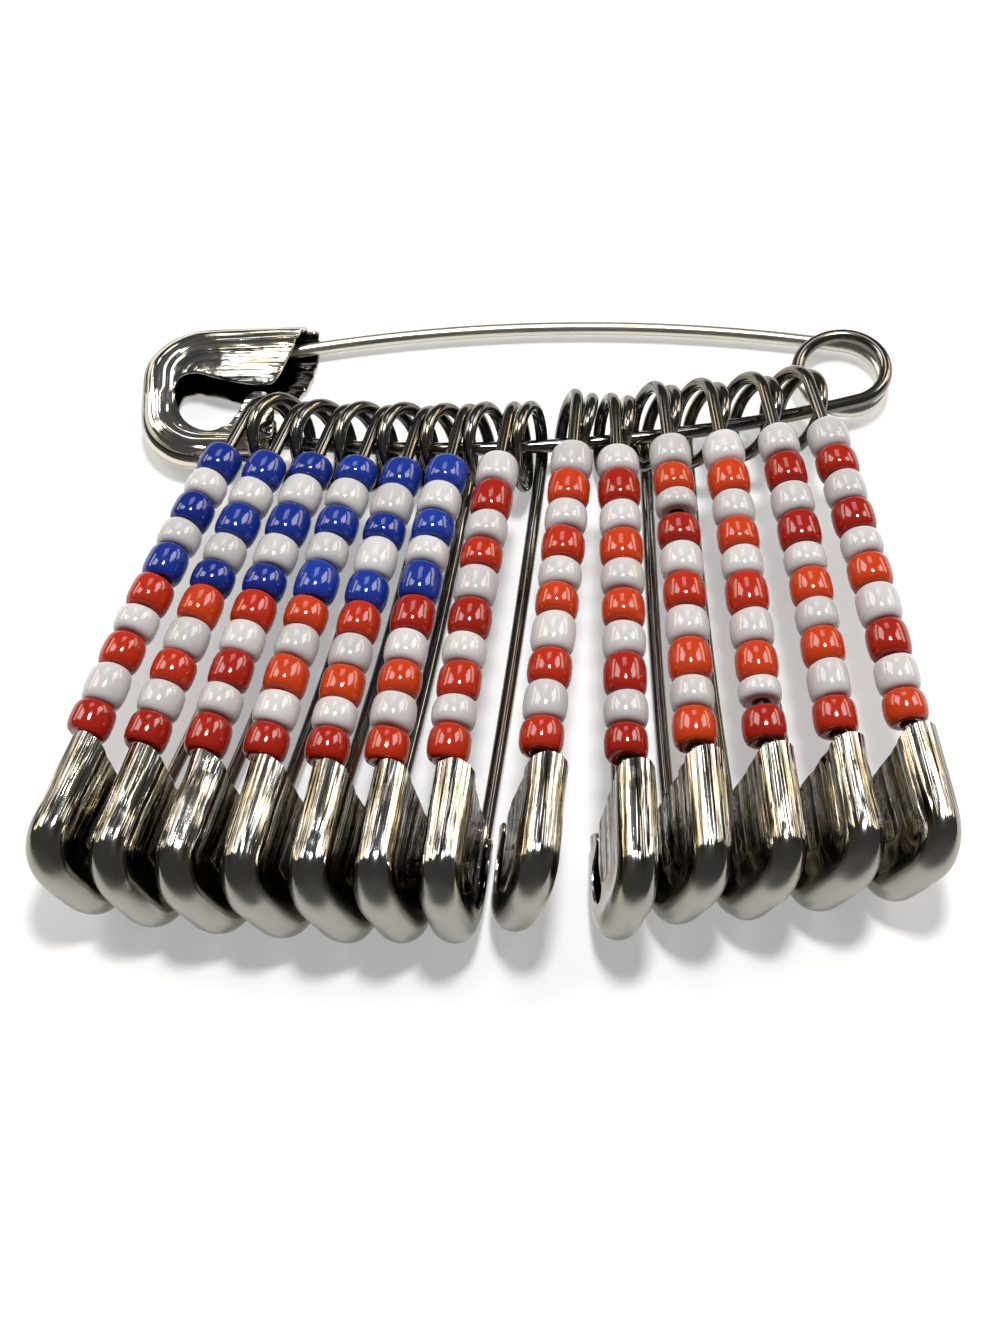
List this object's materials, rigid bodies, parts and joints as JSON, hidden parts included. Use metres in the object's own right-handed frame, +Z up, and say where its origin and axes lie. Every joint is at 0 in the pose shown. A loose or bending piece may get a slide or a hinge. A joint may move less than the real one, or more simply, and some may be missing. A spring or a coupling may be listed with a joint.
{
  "type": "safety pin brooch",
  "caption": "Large safety pin carrying a fringe of small safety pins strung with glass beads in stripes with a blue corner, worn as a flag brooch.",
  "frame": {"origin": "centre of the brooch's box on the surface that it lies on", "axes": "+X along the large pin from its cap to its coil, +Y from the small pins' caps up to the large pin, +Z up from the surface"},
  "size_m": [0.0536, 0.047, 0.0086],
  "materials": {
    "nickel_wire": "drawn spring wire, nickel plated, bright",
    "nickel_cap": "pressed sheet, nickel plated, bright with draw marks",
    "white_bead": "opaque milky glass, glossy",
    "red_bead": "opaque red glass, glossy",
    "blue_bead": "opaque cobalt glass, glossy"
  },
  "bodies": {
    "root": {"main_spine": "nickel_wire", "main_cap": "nickel_cap", "blue_beads": "blue_bead", "pin1_wire": "nickel_wire", "pin1_cap": "nickel_cap", "pin1_white": "white_bead", "pin1_red": "red_bead", "pin2_wire": "nickel_wire", "pin2_cap": "nickel_cap", "pin2_white": "white_bead", "pin2_red": "red_bead", "pin3_wire": "nickel_wire", "pin3_cap": "nickel_cap", "pin3_white": "white_bead", "pin3_red": "red_bead", "pin4_wire": "nickel_wire", "pin4_cap": "nickel_cap", "pin4_white": "white_bead", "pin4_red": "red_bead", "pin5_wire": "nickel_wire", "pin5_cap": "nickel_cap", "pin5_white": "white_bead", "pin5_red": "red_bead", "pin6_wire": "nickel_wire", "pin6_cap": "nickel_cap", "pin6_white": "white_bead", "pin6_red": "red_bead", "pin7_wire": "nickel_wire", "pin7_cap": "nickel_cap", "pin7_white": "white_bead", "pin7_red": "red_bead", "pin8_wire": "nickel_wire", "pin8_cap": "nickel_cap", "pin8_white": "white_bead", "pin8_red": "red_bead", "pin9_wire": "nickel_wire", "pin9_cap": "nickel_cap", "pin9_white": "white_bead", "pin9_red": "red_bead", "pin10_wire": "nickel_wire", "pin10_cap": "nickel_cap", "pin10_white": "white_bead", "pin10_red": "red_bead", "pin11_wire": "nickel_wire", "pin11_cap": "nickel_cap", "pin11_white": "white_bead", "pin11_red": "red_bead", "pin12_wire": "nickel_wire", "pin12_cap": "nickel_cap", "pin12_white": "white_bead", "pin12_red": "red_bead", "pin13_wire": "nickel_wire", "pin13_cap": "nickel_cap", "pin13_white": "white_bead", "pin13_red": "red_bead"},
    "needle": {"main_needle": "nickel_wire"}
  },
  "joints": [
    {"name": "needle_press", "type": "hinge", "parent": "root", "child": "needle", "pos_m": [0.02344, 0.01861, 0.00149], "axis": [0, 0, 1], "range_deg": [0, 5], "stiffness_Nm_per_rad": 0.05, "springref_deg": -20.05}
  ]
}
